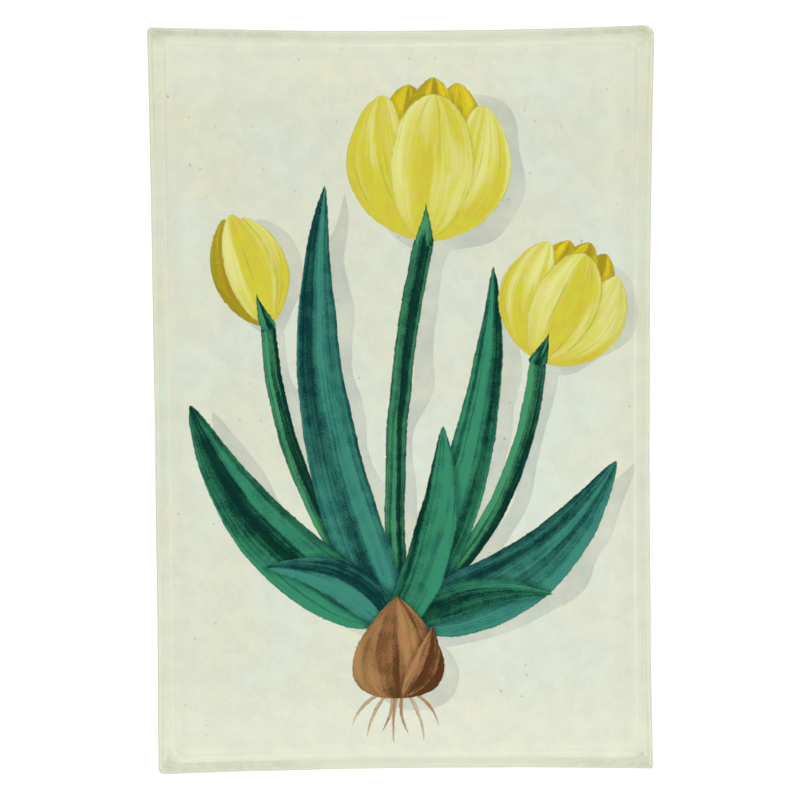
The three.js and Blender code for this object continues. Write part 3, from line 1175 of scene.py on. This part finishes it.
class TRAY_OT_add_backing(bpy.types.Operator):
    """Add the sealed lining that covers the paper from below, pleated at the corners"""

    bl_idname = "glass_tray.add_backing"
    bl_label = "Sealed Backing"

    def execute(self, context):
        form = TrayForm(context.scene.glass_tray_sizes)
        lower = form.floor_height - BACKING_BOX[0].z
        upper = lower - LINING_THICKNESS
        wall = form.wall_length - LINING_STOPS_SHORT
        outer = form.face(lower, wall)
        # A lip of varnish reaches over the paper's cut edge to the glass.
        lip = [form.face(VARNISH_GAP, wall - depth)[-1] for depth in (0.0, VARNISH_LIP)]
        section = [*outer, *lip, *form.face(upper, wall - VARNISH_LIP)[::-1]]

        def place_at(index, place):
            inset, height = section[index]
            point = form.hand_made(inset, height, place)
            if index >= len(outer):
                return point
            crease = beside_pleat(place) * form.wall_share(inset) * PLEAT_DEPTH
            inwards = -Vector((point.x, point.y, 0.0)).normalized()
            return point + inwards * crease

        bm = bmesh.new()
        wrap_round(bm, section, place_at)
        grain = shared_group("fibre grain", fibre_grain_group)
        material = backing_material(context.scene.glass_tray_colours, grain)
        finish_piece("varnished_backing", bm, [material], ["sealed_backing"])
        return {"FINISHED"}


CORNER_AND_SIDE = 2.0
PLEATED = (0.05, 0.95)  # the part of each corner that has folds
FOLDS = 3.5  # in each corner
FOLD_MIDDLE = 0.55
FOLD_WIDTH = 0.3


def beside_pleat(place):
    """How deep the lining lies beside its pleats, from 0 to 1: small folds at each corner."""
    along = place % CORNER_AND_SIDE
    if not PLEATED[0] < along < PLEATED[1]:
        return 0.0
    fold = (along * FOLDS) % 1.0
    return min(1.0, abs(fold - FOLD_MIDDLE) / FOLD_WIDTH)


class TRAY_OT_add_feet(bpy.types.Operator):
    """Add the felt feet"""

    bl_idname = "glass_tray.add_feet"
    bl_label = "Felt Feet"

    def execute(self, context):
        grain = shared_group("fibre grain", fibre_grain_group)
        material = felt_material(context.scene.glass_tray_colours, grain)
        for name in FEET:
            low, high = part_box(name)
            centre = (low + high) / 2
            radius = (high.x - low.x) / 2
            bm = bmesh.new()
            bmesh.ops.create_cone(
                bm,
                cap_ends=True,
                segments=PAD_STEPS,
                radius1=radius,
                radius2=radius,
                depth=high.z - low.z,
                matrix=Matrix.Translation(centre),
            )
            caps = [face for face in bm.faces if len(face.verts) > 4]
            rims = [edge for face in caps for edge in face.edges]
            bmesh.ops.bevel(
                bm, geom=rims, offset=PAD_ROUNDING, segments=3, profile=0.5, affect="EDGES", material=-1
            )
            finish_piece(name.replace("foot", "pad"), bm, [material], [name])
        return {"FINISHED"}


FLOOR_REACH = 4.0  # from the middle to each side
SOFTBOX_PLACE = Vector((1.2, 0.1, 1.2))  # of the right one
SOFTBOX_SIZE = (1.4, 1.8)
DARK_CONE = math.cos(math.radians(25)), math.cos(math.radians(13))  # from its edge to full dark
VIEW_MIDDLE = (-0.00215, 0.001)


def aim(thing, place, target, up=NORTH):
    """Puts a lamp or camera at a place, looking at the target."""
    back = (place - target).normalized()
    right = up.cross(back).normalized()
    basis = Matrix((right, back.cross(right), back)).transposed().to_4x4()
    thing.matrix_world = Matrix.Translation(place) @ basis


def add_softbox(name, place, size, power):
    data = bpy.data.lights.new(name, "AREA")
    data.shape = "RECTANGLE"
    data.size, data.size_y = size
    data.energy = power
    lamp = bpy.data.objects.new(name, data)
    bpy.context.scene.collection.objects.link(lamp)
    aim(lamp, place, ORIGIN)


class TRAY_OT_add_stage(bpy.types.Operator):
    """Add the pale floor, the soft studio light and the camera"""

    bl_idname = "glass_tray.add_stage"
    bl_label = "Stage"

    def execute(self, context):
        stage = context.scene.glass_tray_stage
        self.add_floor(stage)
        self.add_light(context, stage)
        self.add_camera(context, stage)
        return {"FINISHED"}

    def add_floor(self, stage):
        bm = bmesh.new()
        bmesh.ops.create_grid(bm, x_segments=1, y_segments=1, size=FLOOR_REACH)
        mesh = bpy.data.meshes.new("studio_floor")
        bm.to_mesh(mesh)
        bm.free()
        material, tree, output = new_material("studio floor")
        shader = add_node(
            tree,
            "ShaderNodeBsdfPrincipled",
            {
                "Base Color": opaque(stage.floor_colour),
                "Roughness": 0.9,
                "Specular IOR Level": 0.1,
                "Emission Color": WHITE,
                "Emission Strength": stage.floor_glow,
            },
        )
        # From below the floor is left out, so that the tray's underside can be looked at.
        below = tree.nodes.new("ShaderNodeNewGeometry").outputs["Backfacing"]
        one_sided = add_node(tree, "ShaderNodeMixShader", {0: below, 1: shader.outputs[0]})
        tree.links.new(tree.nodes.new("ShaderNodeBsdfTransparent").outputs[0], one_sided.inputs[2])
        tree.links.new(one_sided.outputs[0], output.inputs["Surface"])
        mesh.materials.append(material)
        floor = bpy.data.objects.new("studio_floor", mesh)
        bpy.context.scene.collection.objects.link(floor)

    def add_light(self, context, stage):
        for name, side, power in (
            ("left_softbox", -1, stage.left_light),
            ("right_softbox", 1, stage.right_light),
        ):
            add_softbox(name, SOFTBOX_PLACE * Vector((side, 1.0, 1.0)), SOFTBOX_SIZE, power)
        world = bpy.data.worlds.new("pale surroundings")
        context.scene.world = world
        world.use_nodes = True
        # The surroundings are dark straight above, where the camera hangs.
        tree = world.node_tree
        direction = parts_of(tree, tree.nodes.new("ShaderNodeTexCoord").outputs["Generated"])
        overhead = ramped(tree, direction["Z"], *DARK_CONE, stage.sky_light, 0.0)
        tree.links.new(overhead, tree.nodes["Background"].inputs["Strength"])
        tree.nodes["Background"].inputs["Color"].default_value = opaque(stage.sky_colour)
        context.scene.view_settings.view_transform = "Standard"

    def add_camera(self, context, stage):
        data = bpy.data.cameras.new("photo_camera")
        camera = bpy.data.objects.new("photo_camera", data)
        context.scene.collection.objects.link(camera)
        data.lens = data.sensor_width * stage.camera_distance / stage.view_width
        target = Vector((*VIEW_MIDDLE, GLASS_BOX[1].z))
        back = Vector((-math.tan(stage.camera_sway), math.tan(stage.camera_tilt), 1.0)).normalized()
        up = Vector((math.sin(stage.camera_roll), math.cos(stage.camera_roll), 0.0))
        aim(camera, target + back * stage.camera_distance, target, up)
        context.scene.camera = camera


class TRAY_PT_panel(bpy.types.Panel):
    """Lists the tray's pieces"""

    bl_idname = "TRAY_PT_panel"
    bl_label = "Printed Glass Tray"
    bl_space_type = "VIEW_3D"
    bl_region_type = "UI"
    bl_category = "Glass Tray"

    def draw(self, context):
        layout = self.layout
        for operator in OPERATORS:
            layout.operator(operator.bl_idname)
        for settings in (
            context.scene.glass_tray_sizes,
            context.scene.glass_tray_colours,
            context.scene.glass_tray_stage,
        ):
            box = layout.box()
            for name in settings.bl_rna.properties.keys():
                if name not in ("rna_type", "name"):
                    box.prop(settings, name)


SETTINGS = {
    "glass_tray_sizes": TraySizes,
    "glass_tray_colours": TrayColours,
    "glass_tray_stage": StageSettings,
}
OPERATORS = (
    TRAY_OT_add_stage,
    TRAY_OT_add_feet,
    TRAY_OT_add_backing,
    TRAY_OT_add_print,
    TRAY_OT_add_glass,
)


def register():
    for owner in (*SETTINGS.values(), *OPERATORS, TRAY_PT_panel):
        bpy.utils.register_class(owner)
    for name, group in SETTINGS.items():
        setattr(bpy.types.Scene, name, bpy.props.PointerProperty(type=group))


def unregister():
    for name in SETTINGS:
        delattr(bpy.types.Scene, name)
    for owner in reversed((*SETTINGS.values(), *OPERATORS, TRAY_PT_panel)):
        bpy.utils.unregister_class(owner)


def main():
    register()
    for operator in OPERATORS:
        group, name = operator.bl_idname.split(".")
        getattr(getattr(bpy.ops, group), name)()


if __name__ == "__main__":
    main()
